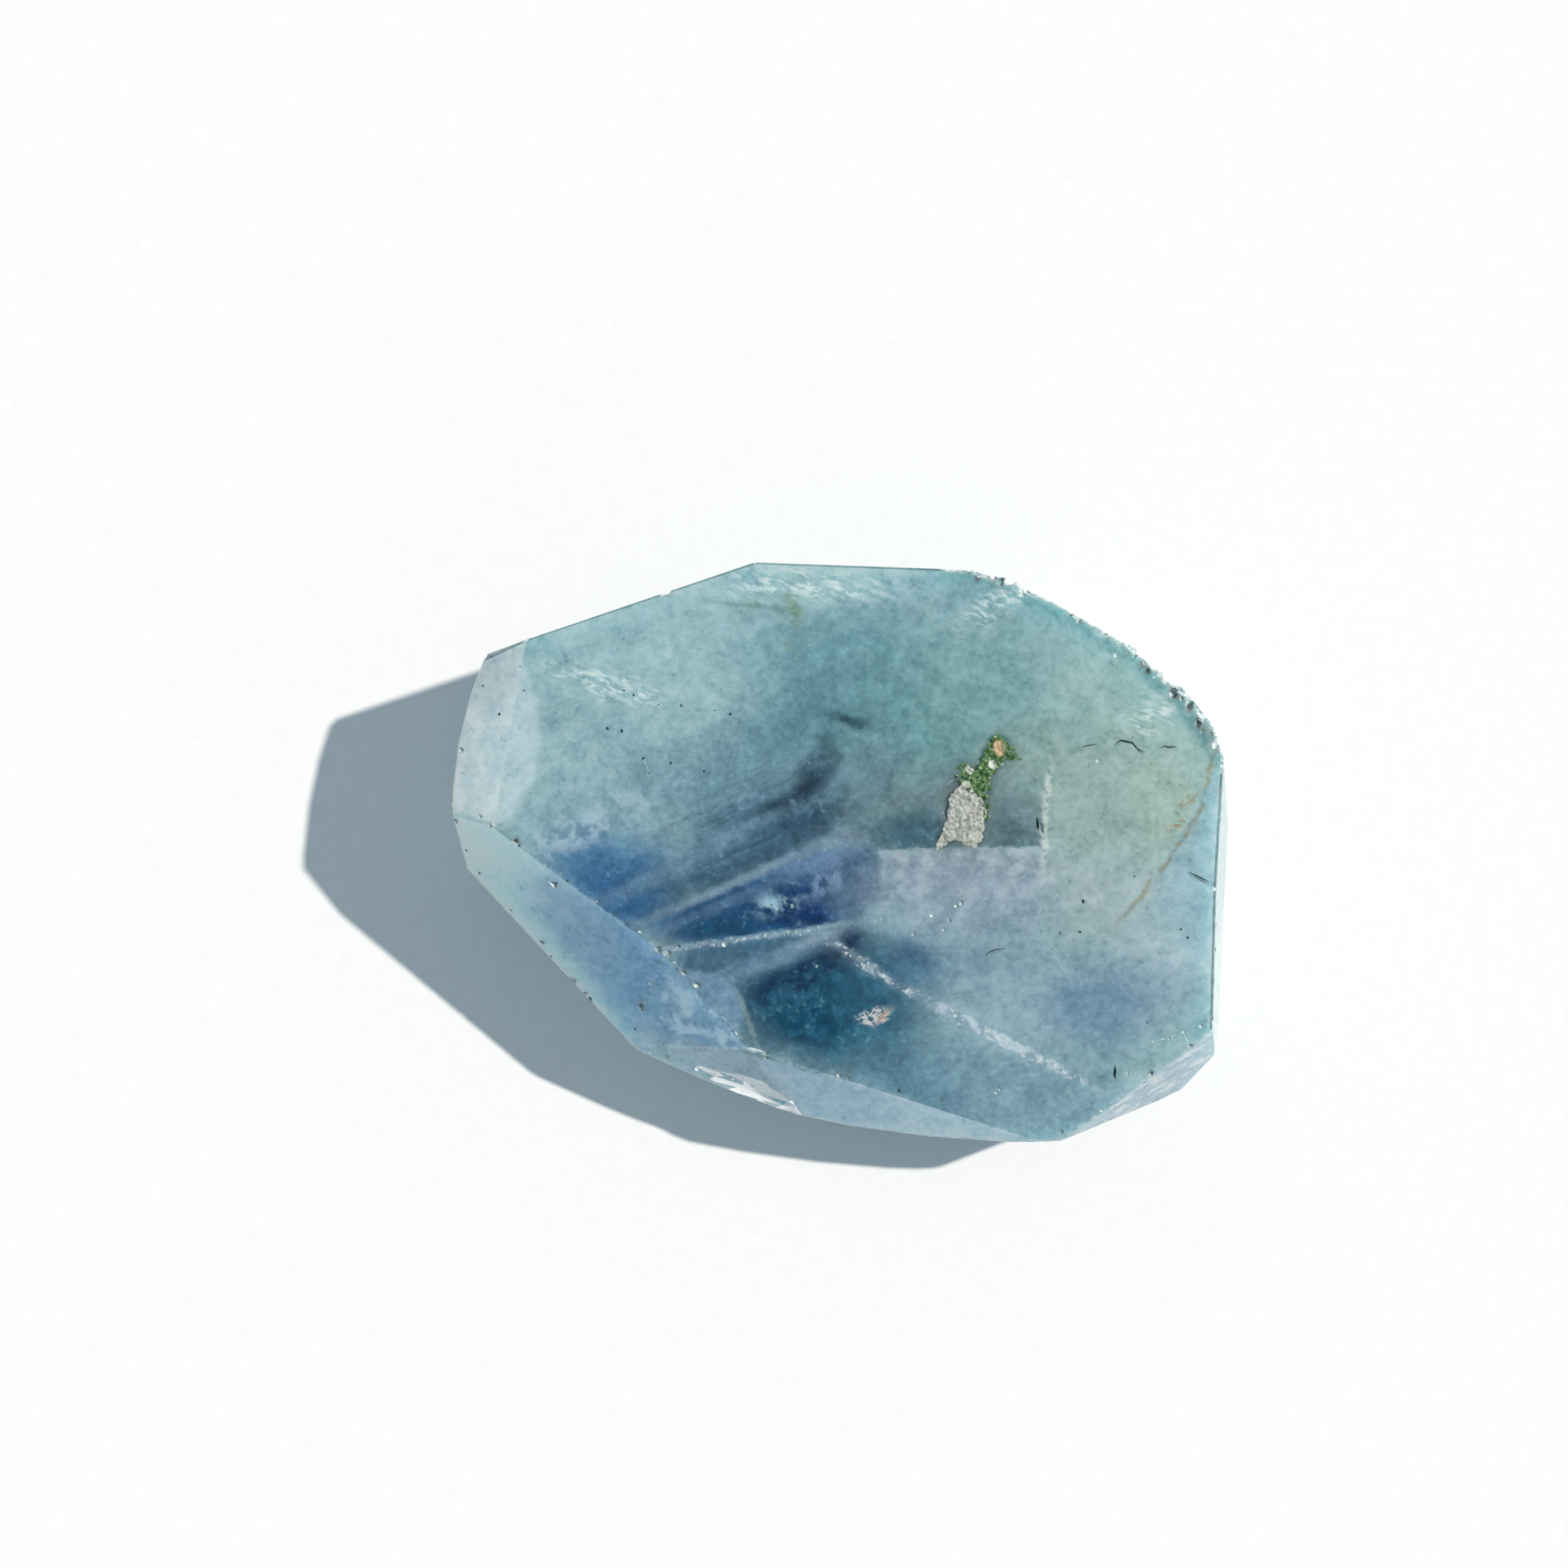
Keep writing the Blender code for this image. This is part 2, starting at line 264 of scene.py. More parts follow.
def finished_skin(mesh):
    """Tells the broken faces and the softened edges from the polished facets, and marks edges for painted highlight
    and shade.
    """
    edge_highlight_and_shade = mesh.faces.layers.float.new("edge_highlight_and_shade")
    for face in mesh.faces:
        face.smooth = True
        longest = max(edge.calc_length() for edge in face.edges)
        area = face.calc_area()
        middle = face.calc_center_median().to_2d()
        narrow = longest > STRIP_LENGTH and area < STRIP_WIDTH * longest
        if face.material_index == POLISHED and narrow:
            face[edge_highlight_and_shade] = -1.0 if is_dark_edge(middle / MM) else float(face.normal.z < NEARLY_LEVEL)
        elif face.material_index == POLISHED and area < BROKEN_BELOW:
            face.material_index = POLISHED if (middle - INCLUSION_MIDDLE).length < INCLUSION_REACH else FROSTY
    for edge in mesh.edges:
        edge.smooth = edge.calc_face_angle(0.0) < SHARP_BEYOND


stone_materials = [bpy.data.materials.new(name) for name in ("polished_fluorite", "broken_fluorite", "dark_cracks")]
stone_skin = bmesh.new()
stone_skin.from_mesh(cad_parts["fluorite_freeform"].data)
whole_facets(stone_skin)
stone = bpy.data.objects.new("polished_stone", bpy.data.meshes.new("polished_stone"))
stone_skin.to_mesh(stone.data)
stone_skin.free()
for material in stone_materials:
    stone.data.materials.append(material)
chips = chips_and_grooves(stone_materials)
for thing in (stone, chips):
    bpy.context.scene.collection.objects.link(thing)

# All the chips are cut out in one go, so that what is left is one closed skin.
cut = stone.modifiers.new("chips", "BOOLEAN")
cut.operation = "DIFFERENCE"
cut.solver = "EXACT"
cut.use_self = True
cut.object = chips
view_layer = bpy.context.view_layer
view_layer.update()
chipped = bmesh.new()
chipped.from_object(stone, view_layer.depsgraph)
stone.modifiers.clear()
bpy.data.objects.remove(chips)
whole_facets(chipped)
bmesh.ops.delete(chipped, geom=loose_bits(chipped), context="FACES")
finished_skin(chipped)
chipped.to_mesh(stone.data)
chipped.free()
even = stone.modifiers.new("flat_facets_shade_flat", "WEIGHTED_NORMAL")
even.mode = "FACE_AREA"
even.weight = 100
even.keep_sharp = True


VEIN_DEPTH = 3.0
VEIN_HALF = 0.58


class Tone:
    """A number, a place or a colour that changes over a surface: one output of a material's nodes."""

    def __init__(self, tree, output=None):
        self.tree = tree
        self.output = output

    def node(self, kind, settings=None, sockets=None, output=0):
        """Adds a node: first its settings, then the values or links of its sockets."""
        made = self.tree.nodes.new("ShaderNode" + kind)
        for name, value in (settings or {}).items():
            setattr(made, name, value)
        for name, value in (sockets or {}).items():
            if isinstance(value, Tone):
                self.tree.links.new(value.output, made.inputs[name])
            else:
                made.inputs[name].default_value = value
        return Tone(self.tree, made.outputs[output])

    def __mul__(self, other):
        return self.node("Math", {"operation": "MULTIPLY"}, {0: self, 1: other})

    def most(self, other):
        return self.node("Math", {"operation": "MAXIMUM"}, {0: self, 1: other})

    def ease(self, start, end, low=0.0, high=1.0):
        """Goes smoothly from low to high as this goes from start to end."""
        sockets = {"Value": self, "From Min": start, "From Max": end, "To Min": low, "To Max": high}
        return self.node("MapRange", {"interpolation_type": "SMOOTHSTEP"}, sockets)

    def tinted(self, *stops):
        """Colours that follow this value. Each stop is a value and the colour there."""
        made = self.node("ValToRGB", {}, {0: self})
        ramp = made.output.node.color_ramp
        while len(ramp.elements) < len(stops):
            ramp.elements.new(0.5)
        for element, (position, colour) in zip(ramp.elements, stops):
            element.position = position
            element.color = colour
        return made

    def over(self, colour, mask, blend="MIX"):
        """This colour with another laid over it where the mask is 1."""
        settings = {"data_type": "RGBA", "blend_type": blend}
        return self.node("Mix", settings, {0: mask, 6: self, 7: colour}, output=2)

    def vector(self, operation, other, output="Vector"):
        return self.node("VectorMath", {"operation": operation}, {0: self, 1: other}, output)

    def clouds(self, size, detail=3.0, rough=0.5, output="Fac"):
        """Cloudy noise whose lumps are about this many millimetres across."""
        sockets = {"Vector": self, "Scale": 1.0 / size, "Detail": detail, "Roughness": rough}
        return self.node("TexNoise", {}, sockets, output)

    def drift(self, size, amount, detail=2.0, rough=0.5):
        """This place, shifted to and fro so that straight borders wander."""
        push = self.clouds(size, detail, rough, "Color").vector("SUBTRACT", (0.5, 0.5, 0.5))
        return push.node("VectorMath", {"operation": "MULTIPLY_ADD"}, {0: push, 1: (amount,) * 3, 2: self})

    def turned(self, degrees, stretch):
        """This place, turned about the upright axis and squeezed."""
        sockets = {"Vector": self, "Rotation": (0, 0, math.radians(degrees)), "Scale": stretch}
        return self.node("Mapping", {"vector_type": "TEXTURE"}, sockets)

    def away(self, middle, reach, turn=0.0):
        """How far out of an egg-shaped pocket a place is: 0 in its middle and 1 at its skin."""
        spun = self
        if turn:
            sockets = {"Vector": self, "Center": middle, "Angle": -math.radians(turn)}
            spun = self.node("VectorRotate", {"rotation_type": "Z_AXIS"}, sockets)
        shrink = [1 / part for part in reach]
        shift = [-at / part for at, part in zip(middle, reach)]
        inside = spun.node("VectorMath", {"operation": "MULTIPLY_ADD"}, {0: spun, 1: shrink, 2: shift})
        return inside.node("VectorMath", {"operation": "LENGTH"}, {0: inside}, "Value")

    def pocket(self, middle, reach, turn=0.0, fade=0.5, strength=1.0):
        """1 inside an egg-shaped pocket and 0 outside it. Its skin fades over this part of its reach, both ways."""
        return self.away(middle, reach, turn).ease(1.0 + fade, 1.0 - fade, 0.0, strength)

    def beyond(self, point, bearing, fade):
        """1 on the far side of an upright plane through a point, faded over so many millimetres."""
        facing = Vector((math.cos(math.radians(bearing)), math.sin(math.radians(bearing)), 0))
        reach = facing.dot(Vector((*point, 0)))
        return self.vector("DOT_PRODUCT", facing, "Value").ease(reach - fade / 2, reach + fade / 2)

    def vein(self, first, last, width, strength=1.0, fade=0.9):
        """1 along a line between two points of the crown. It thins out at its ends."""
        first, last = Vector(first), Vector(last)
        run = last - first
        reach = (run.length * VEIN_HALF + width, width, VEIN_DEPTH)
        turn = math.degrees(math.atan2(run.y, run.x))
        return self.pocket(on_crown(*((first + last) / 2)), reach, turn, fade, strength)


def bare_skin(material):
    """A material's surface, with nothing on it yet, and the place of each of its points in millimetres."""
    material.use_nodes = True
    place = Tone(material.node_tree).node("TexCoord", output="Object").vector("MULTIPLY", (1 / MM,) * 3)
    return material.node_tree.nodes["Principled BSDF"], place


def dress(skin, colour, roughness, relief, strength, depth):
    """Gives a surface its colour, its roughness and a relief so many millimetres deep."""
    bump = relief.node("Bump", {}, {"Strength": strength, "Distance": depth * MM, "Height": relief}, "Normal")
    for socket, value in {"Base Color": colour, "Roughness": roughness, "Normal": bump}.items():
        colour.tree.links.new(value.output, skin.inputs[socket])


FLUORITE_IOR = 1.434
SEE_THROUGH = 0.3
SCATTERED_LIGHT = (0.6, 0.85, 1.0)
SCATTER_REACH = 6
TABLE_LIGHT = (0.68, 0.71, 0.72)
LEFT_LIGHT = (0.59, 0.65, 0.68)
FOOT_LIGHT = (0.45, 0.50, 0.53)
BOTTOM_LIGHT = (0.57, 0.60, 0.62)
CORNER_LIGHT = (0.74, 0.73, 0.74)
BROKEN_LIGHT = (1.05, 1.05, 1.05)


def seen(red, green, blue, light=TABLE_LIGHT):
    """The stone's own colour where it is seen as this one, 0 to 255, on a facet that sends back so much light."""
    linear = []
    for value, part in zip((red, green, blue), light):
        value /= 255
        value = value / 12.92 if value <= 0.04045 else ((value + 0.055) / 1.055) ** 2.4
        linear.append(min(value / part, 0.98))
    return (*linear, 1.0)


fluorite, frosted, cracks = stone_materials
skin, place = bare_skin(fluorite)
loose = place.drift(6.0, 3.0, 2.0)
near = place.drift(1.3, 0.9, 3.0, 0.65)
cloud = place.clouds(5.0, 3.0, 0.6)
patch = loose.clouds(1.8, 3.0, 0.62)
grain = place.clouds(0.6, 3.0, 0.65)
speckled = patch.ease(0.44, 0.6)

# Broad zones, from clear teal to milky blue, that run down through the stone.
colour = cloud.tinted((0.32, seen(126, 160, 168)), (0.68, seen(156, 185, 187)))
ZONE_FADE = 0.75
ZONES = [
    # colour, middle, reach, turn, strength
    (seen(152, 182, 186), (-14, 16, 17), (7, 5, 20), 15, 0.7),
    (seen(134, 164, 174), (-21, 5, 17), (6, 6, 20), 0, 0.7),
    (seen(110, 154, 164), (1, 16.5, 17), (8.5, 4.2, 20), 0, 0.9),
    (seen(90, 132, 146), (-2.5, 10.5, 17), (6.5, 4.6, 20), 12, 0.9),
    (seen(104, 140, 154), (-10, 6.5, 17), (7.5, 3.6, 20), 22, 0.9),
    (seen(104, 150, 154), (7, 10.5, 17), (6.5, 5.5, 20), 0, 0.9),
    (seen(122, 162, 165), (13, 15, 17), (6.5, 6, 20), -30, 0.8),
    (seen(150, 180, 178), (23.5, 13, 17), (6.5, 4.2, 20), -38, 0.95),
    (seen(134, 162, 158), (18, 8, 17), (4.5, 3.5, 20), 0, 0.8),
    (seen(158, 182, 174), (27, 4.5, 17), (5.5, 5.5, 20), 0, 0.9),
    (seen(138, 164, 162), (20.5, 3.0, 17), (4.2, 3.2, 20), 0, 0.8),
    (seen(156, 176, 178), (23, -3.5, 17), (6.5, 3.0, 20), 0, 0.9),
    (seen(166, 188, 194), (28, -7, 15), (5, 4.0, 18), 0, 0.95),
    (seen(118, 149, 170), (21, -12.5, 13), (6.0, 3.6, 16), 5, 1.0),
    (seen(128, 158, 172), (11, -8, 15), (6.5, 6, 18), 0, 0.9),
    (seen(150, 176, 188), (14, -13.5, 13), (3.2, 3.4, 16), 0, 0.8),
    (seen(98, 136, 155), (6, -19, 11), (8.5, 3.2, 14), -12, 0.95),
    (seen(122, 154, 168), (17, -20, 11), (7.5, 3.0, 14), -14, 0.9),
]
for tint, middle, reach, turn, strength in ZONES:
    colour = colour.over(tint, loose.pocket(middle, reach, turn, ZONE_FADE, strength))

# The smoky growth bands between the lower left facet and the middle.
BANDS_TURN = 24
BANDS = [
    # colour, middle, reach, turn, fade, strength
    (seen(76, 120, 154), (-19.5, -1.6, 17), (6.0, 3.8, 18), -14, 0.45, 0.9),
    (seen(36, 86, 130), (-18.0, -3.0, 17), (4.4, 2.3, 18), -30, 0.6, 0.9),
    (seen(80, 114, 134), (-7, 1.4, 17), (8.8, 4.0, 18), 24, 0.5, 0.9),
    (seen(58, 94, 118), (-8.0, 0.0, 17), (7.5, 1.4, 14), 24, 0.6, 0.85),
    (seen(38, 70, 96), (-3.0, 3.7, 17), (3.4, 1.5, 14), 24, 0.7, 0.95),
    (seen(40, 72, 90), (-2.0, 6.9, 18), (1.7, 1.1, 8), 48, 0.9, 0.9),
    (seen(62, 98, 110), (-1.2, 8.9, 18), (0.8, 1.1, 8), 0, 0.9, 0.6),
]
for tint, middle, reach, turn, fade, strength in BANDS:
    colour = colour.over(tint, loose.pocket(middle, reach, turn, fade, strength))
banding = near.turned(BANDS_TURN, (5.0, 0.6, 3.0)).clouds(1.0, 3.0, 0.6)
banded = near.pocket((-7.5, 2.0, 18), (10.5, 4.8, 10), BANDS_TURN, 0.5)
colour = colour.over(seen(126, 150, 166), banding.ease(0.5, 0.72) * banded * 0.4)
colour = colour.over(seen(42, 76, 100), banding.ease(0.5, 0.32) * banded * 0.4)
torn_smoke = near.pocket((-2.4, 6.0, 18), (3.0, 1.8, 8), 44, 0.6) * speckled
colour = colour.over(seen(98, 134, 150), torn_smoke * 0.6)
right_of_smoke = near.beyond((0.3, 4), 0, 0.8) * loose.pocket((2.6, 4.5, 18), (3.0, 5.5, 10), 0, 0.5)
colour = colour.over(seen(100, 134, 146), right_of_smoke * 0.8)

# The deep blue under the bands, and the teal pool and the milky corner of the lower table. The edge between the
# two tables parts them.
below_bands = near.beyond((-8, -1.75), BANDS_TURN - 90, 0.4)
TABLE_CORNER = (-15.3, -7.75)
above_line = near.beyond(TABLE_CORNER, 98.5, 0.5)
blue = below_bands * above_line * loose.pocket((-6.0, -3.4, 17), (10.0, 5.0, 14), 15, 0.3)
colour = colour.over(seen(28, 74, 116), blue)
below_line = near.beyond(TABLE_CORNER, -81.5, 0.5)
DEEPS = [
    # colour, middle, reach, turn, fade, strength, of what lies above the edge
    (seen(104, 134, 164), (-1.4, 0.2, 18), (4.2, 1.2, 8), 24, 0.7, 0.9),
    (seen(0, 48, 98), (-3.2, -4.6, 17), (3.4, 1.6, 10), 12, 0.6, 0.95),
    (seen(16, 66, 96), (-10.8, -6.3, 17), (4.0, 0.9, 10), 8, 0.7, 0.95),
    (seen(84, 116, 142), (0.6, -3.0, 17), (2.0, 2.8, 10), 0, 0.6, 0.6),
]
for tint, middle, reach, turn, fade, strength in DEEPS:
    colour = colour.over(tint, above_line * loose.pocket(middle, reach, turn, fade, strength))
LOWS = [
    # the same, of what lies below it
    (seen(76, 110, 132), (-8.5, -9.0, 17), (7.5, 2.6, 12), 6, 0.4, 1.0),
    (seen(5, 71, 99), (-2.4, -12.6, 14), (7.4, 5.2, 14), 0, 0.5, 1.0),
    (seen(44, 96, 122), (3.0, -11.6, 15), (3.6, 6.0, 14), 20, 0.6, 0.75),
    (seen(66, 108, 138), (6.3, -8.6, 17), (2.2, 2.0, 12), 0, 0.8, 0.8),
    (seen(0, 36, 74), (-3.4, -10.4, 16), (4.8, 1.4, 8), 28, 0.7, 0.9),
    (seen(2, 36, 72), (0.6, -7.2, 18), (1.7, 1.3, 6), 30, 0.7, 0.95),
]
for tint, middle, reach, turn, fade, strength in LOWS:
    colour = colour.over(tint, below_line * loose.pocket(middle, reach, turn, fade, strength))
pool = below_line * loose.pocket((-1.5, -13.5, 14), (7, 4, 14), -8, 0.4)
colour = colour.over(seen(50, 112, 134), pool * speckled * 0.35)
milky_corner = below_line * near.pocket((-12.3, -13.2, 17), (3.8, 3.6, 10), 0, 0.12)
colour = colour.over(seen(116, 147, 171), milky_corner * 0.9)
STREAKS = [
    # colour, first and last point, width, strength
    (seen(106, 138, 158), (-19.7, -3.6), (-5.4, 3.6), 0.7, 0.65),
    (seen(56, 86, 106), (-14.5, -4.2), (-0.6, 3.2), 0.7, 0.75),
    (seen(122, 148, 164), (-15.3, -4.9), (-0.9, 1.3), 0.38, 0.8),
    (seen(122, 148, 164), (-1.9, 1.1), (2.8, 1.8), 0.38, 0.8),
    (seen(92, 122, 146), (-12.9, -5.2), (-5.9, -2.3), 0.45, 0.6),
    (seen(36, 66, 86), (-6.6, 3.9), (-3.1, 5.4), 0.5, 0.8),
    (seen(34, 62, 80), (-3.6, 5.2), (-1.5, 7.2), 0.75, 0.9),
    (seen(38, 72, 86), (-0.4, 11.6), (1.6, 11.0), 0.45, 0.9),
    (seen(106, 138, 160), (-10.9, -10.8), (-0.9, -6.6), 0.8, 0.85),
    (seen(150, 170, 182), (-3.4, -7.4), (-0.8, -6.5), 0.35, 0.6),
    (seen(140, 160, 160), (-8.7, -12.2), (-7.1, -16.4), 0.2, 0.6),
]
for tint, first, last, width, strength in STREAKS:
    colour = colour.over(tint, near.vein(first, last, width, strength))
lilac = near.vein((-3.4, -2.9), (1.2, -0.2), 1.1, 0.8)
colour = colour.over(seen(118, 144, 172), lilac * speckled)
colour = colour.over(seen(156, 178, 192), near.vein((-24.5, 1.2), (-18.6, 3.7), 1.2, 0.8) * speckled)

# The clear window with its crisp lower and right borders, and the milky veil under it.
left_of_tear = near.beyond((16.6, 4), 180, 0.3)
above_veil = near.beyond((10, 0.7), 91, 0.3)
window = left_of_tear * above_veil * loose.pocket((9.5, 2.4, 18), (8.4, 5.0, 10), 0, 0.5)
colour = colour.over(seen(104, 130, 136), window * 0.95)
deep_end = above_veil * loose.pocket((6.2, 1.8, 18), (3.6, 1.9, 10), 0, 0.6)
colour = colour.over(seen(66, 102, 118), deep_end * 0.9)
low_window = left_of_tear * above_veil * loose.pocket((14.4, 1.6, 18), (2.6, 1.6, 10), 0, 0.7)
colour = colour.over(seen(84, 112, 120), low_window * 0.8)
below_veil = near.beyond((10, 0.6), 271, 0.3) * near.beyond((2.9, 0), 10, 0.9)
veil = below_veil * loose.pocket((10.5, -0.8, 18), (9.0, 3.6, 10), -6, 0.55)
colour = colour.over(seen(142, 162, 172), veil * 0.9)
colour = colour.over(seen(172, 186, 194), veil * speckled * 0.45)
right_of_tear = near.beyond((16.7, 4), 0, 0.35) * loose.pocket((19.0, 2.5, 18), (3.6, 5.5, 8), 0, 0.55)
colour = colour.over(seen(158, 180, 178), right_of_tear * 0.5)
torn = near.vein((17.3, 6.8), (16.95, 3.5), 0.3).most(near.vein((16.9, 4.2), (16.8, -0.2), 0.3))
colour = colour.over(seen(200, 212, 206), torn * grain.ease(0.36, 0.56) * 0.75)
lower_milk = near.beyond((16.9, -2), 180, 0.6) * loose.pocket((9, -3.8, 18), (8.5, 3.4, 10), -8, 0.5)
colour = colour.over(seen(140, 160, 174), lower_milk * 0.5)

# The milky left end of the table, and painted light on the facets: each facet is lighter or darker than the table
# partly for the thinner stone there and partly as painted light for how it catches the light, and the sliver at the
# right is painted near white for the bright floor seen through it.
facing = place.node("NewGeometry", output="True Normal")


def on_facet(bearing, lean, within):
    """1 on the facets whose skin faces this way, give or take so many degrees."""
    like = facing.vector("DOT_PRODUCT", facing_way(bearing, lean), "Value")
    return like.ease(math.cos(math.radians(within)), math.cos(math.radians(within * 0.6)))


whitish = near.pocket((-30.9, 10.2, 19), (5.5, 8.6, 12), 0, 0.07)
colour = colour.over(seen(170, 192, 197), whitish * 0.9)
left = on_facet(174.5, 17.5, 7)
colour = colour.over(seen(170, 191, 198, LEFT_LIGHT), left)
colour = colour.over(seen(188, 206, 211, LEFT_LIGHT), left * speckled * 0.5)
colour = colour.over(seen(150, 166, 172, LEFT_LIGHT), left * loose.pocket((-30, 15.5, 19), (3, 2.6, 9), 0, 0.8, 0.7))
foot = on_facet(235.5, 42, 8)
colour = colour.over(seen(120, 151, 171, FOOT_LIGHT), foot)
colour = colour.over(seen(162, 186, 192, FOOT_LIGHT), foot * loose.pocket((-31.5, 0.5, 17), (6, 6, 9), 0, 0.9))
foot_end = foot * loose.pocket((-17.5, -10.5, 17), (3.4, 4.4, 9), 0, 0.9, 0.9)
colour = colour.over(seen(102, 140, 168, FOOT_LIGHT), foot_end)
colour = colour.over(seen(154, 186, 188, FOOT_LIGHT), foot * near.vein((-32.4, 0.2), (-19.2, -15.2), 1.2, 0.7))
corner = foot * near.beyond((-15.2, -10), -5, 0.5)
colour = colour.over(seen(112, 146, 168, FOOT_LIGHT), corner)
colour = colour.over(seen(150, 176, 192, FOOT_LIGHT), corner * speckled * 0.7)
bottom = on_facet(259, 39, 16) * near.beyond((-14, -15.5), -90 - 14, 0.6)
colour = colour.over(seen(140, 164, 178, BOTTOM_LIGHT), bottom)
colour = colour.over(seen(158, 180, 190, BOTTOM_LIGHT), bottom * loose.pocket((9, -23, 13), (6, 4, 9), 0, 0.9, 0.8))
bottom_right = on_facet(299.5, 52, 12)
colour = colour.over(seen(166, 184, 194, CORNER_LIGHT), bottom_right)
strokes = near.turned(32, (3.0, 0.35, 1.0)).clouds(1.0, 3.0, 0.6).ease(0.5, 0.66)
colour = colour.over(seen(226, 234, 236, CORNER_LIGHT), bottom_right * strokes * 0.7)
sliver = on_facet(356.5, 78, 12)
colour = colour.over(seen(180, 208, 206), sliver)

# The sparkling lines, a white cloud in the deep blue, the iron stain with its rusty spots, small feathers, and
# the white crescent.
sparks = place.clouds(0.32, 2.0, 0.6)
thin_line = near.vein((-15.9, -8.0), (-0.2, -5.8), 0.2)
sparkling_line = near.vein((-1.4, -7.0), (4.6, -10.9), 0.45).most(near.vein((2.4, -9.8), (22.5, -20.4), 0.5))
brightest = thin_line.most(sparkling_line.ease(0.3, 0.7))
colour = colour.over(seen(140, 164, 180), thin_line * 0.6)
colour = colour.over(seen(146, 172, 186), sparkling_line * 0.45)
colour = colour.over(seen(190, 208, 214), sparkling_line.ease(0.35, 0.8) * speckled * 0.7)
# Painted glints: the white sparks on the brightest lines.
colour = colour.over(seen(248, 250, 250), brightest * sparks.ease(0.57, 0.66) * 0.9)
white_cloud = near.pocket((-5.6, -4.0, 18), (1.8, 0.9, 3), 8, 0.8) * patch.ease(0.34, 0.54)
colour = colour.over(seen(168, 206, 228), white_cloud * 0.85)
right_of_stain = near.beyond((28.3, 2.0), -29, 0.3) * near.pocket((31, 0.5, 18), (4.6, 8.6, 10), -16, 0.25)
colour = colour.over(seen(146, 176, 184), right_of_stain * 0.75)
STAIN = [((31.4, 10.4), (29.8, 3.4)), ((30.0, 4.0), (27.2, -0.6)), ((27.6, 0.2), (23.4, -5.3))]
for first, last in STAIN:
    colour = colour.over(seen(132, 130, 100), near.vein(first, last, 0.2, 0.65) * patch.ease(0.38, 0.56))
RUST = [((31.6, 9.6), (30.9, 7.4)), ((29.3, 5.0), (28.5, 4.4)), ((28.5, 2.9), (27.5, 2.3))]
for first, last in RUST:
    colour = colour.over(seen(146, 124, 84), near.vein(first, last, 0.3, 0.7) * sparks.ease(0.42, 0.54))
colour = colour.over(seen(108, 134, 112), near.vein((-4.4, 21.4), (-4.3, 18.4), 0.9, 0.8) * speckled)
colour = colour.over(seen(102, 136, 126), near.vein((-9.5, 21.2), (-5.2, 20.7), 0.22, 0.6))
feathers = near.turned(-20, (1.6, 0.45, 1.0)).clouds(1.0, 2.0, 0.6).ease(0.46, 0.62)
FEATHERS = [
    ((-22.8, 15.1), (-16.9, 13.5)), ((11.4, 20.1), (14.4, 22.1)), ((25.0, 11.2), (28.2, 13.2)), ((-8, 23), (2, 22.4)),
]
for first, last in FEATHERS:
    colour = colour.over(seen(204, 219, 218), near.vein(first, last, 1.1, 0.8) * feathers)
crescent = near.pocket((2.6, -13.6, 16.8), (1.35, 0.75, 3), 10, 0.3) * sparks.ease(0.42, 0.52)
colour = colour.over(seen(206, 208, 206), crescent * 0.85)
colour = colour.over(seen(190, 160, 136), near.vein((3.0, -14.0), (3.8, -13.2), 0.22, 0.6))

# The rough rim has a clearer, darker green band along it. Softened edges get a painted highlight that makes them a
# little pale, and those at the top and the right get painted shade that makes them dark. The whole stone is finely
# mottled, with small white wisps and darker motes.
rim = place.beyond((8.9, 23.3), 53.7, 1.5)
ring = near.vector("MULTIPLY", (1, 1, 0)).vector("DISTANCE", (*ROUGH_RIM_CENTRE, 0), "Value").ease(31.8, 33.0)
colour = colour.over(seen(92, 140, 142), rim * ring * patch.ease(0.34, 0.56) * 0.85)
edge_highlight_and_shade = place.node("Attribute", {"attribute_name": "edge_highlight_and_shade"}, output="Fac")
colour = colour.over(seen(190, 208, 212), edge_highlight_and_shade * grain.ease(0.42, 0.6) * 0.25)
colour = colour.over(seen(50, 84, 82), edge_highlight_and_shade.ease(-0.5, -1.0) * 0.7)
flecks = near.clouds(0.5, 2.0)
colour = colour.over(seen(150, 196, 212), flecks.ease(0.56, 0.72) * speckled * 0.2)
colour = colour.over(seen(76, 110, 116), flecks.ease(0.4, 0.3) * patch.ease(0.54, 0.4) * 0.3)
colour = colour.over(patch.ease(0.28, 0.72), 0.24, "SOFT_LIGHT")
colour = colour.over(grain.ease(0.2, 0.8), 0.3, "SOFT_LIGHT")

dress(skin, colour, roughness=grain.ease(0.3, 0.8, 0.07, 0.16), relief=grain, strength=0.2, depth=0.02)
skin.inputs["IOR"].default_value = FLUORITE_IOR
skin.inputs["Transmission Weight"].default_value = SEE_THROUGH
skin.inputs["Subsurface Weight"].default_value = 1.0
skin.inputs["Subsurface Radius"].default_value = SCATTERED_LIGHT
skin.inputs["Subsurface Scale"].default_value = SCATTER_REACH * MM

